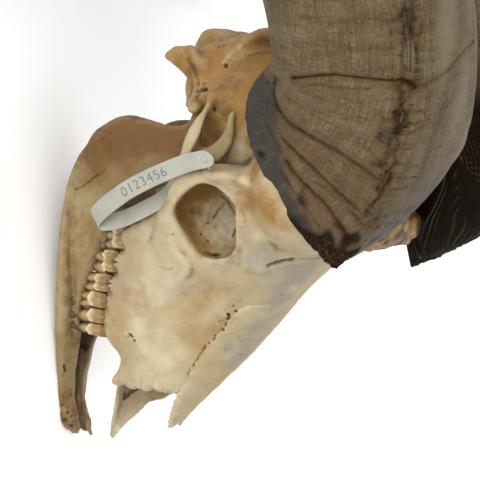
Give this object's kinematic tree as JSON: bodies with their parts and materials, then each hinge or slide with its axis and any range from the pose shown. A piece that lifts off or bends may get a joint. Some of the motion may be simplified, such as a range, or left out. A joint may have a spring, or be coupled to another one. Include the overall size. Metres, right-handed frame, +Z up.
{
  "type": "ram skull",
  "caption": "Life-size skull of a bighorn-type ram with lower jaw and two heavy curled horns, a numbered strap looped round one cheek arch.",
  "frame": {"origin": "centre of the bounding box at floor level, under the skull as it rests on the jaw's front end and the lowest point of each horn", "axes": "+Z up, nose towards -Y, the animal's left side towards +X; the skull rests nose down by 5.9 degrees"},
  "size_m": [0.448, 0.485, 0.3313],
  "materials": {
    "bone": "dry matte old bone, cream to ochre",
    "jaw_bone": "dry matte brownish bone with stained teeth",
    "horn": "satin brown-grey keratin with growth rings",
    "strap": "pale grey worn plastic band"
  },
  "bodies": {
    "root": {"cranium": "bone", "nasal_left": "bone", "nasal_right": "bone", "premaxilla_left": "bone", "mandible_left": "jaw_bone", "mandible_right": "jaw_bone", "horn_left": "horn", "horn_right": "horn", "specimen_tag": "strap"}
  },
  "joints": []
}
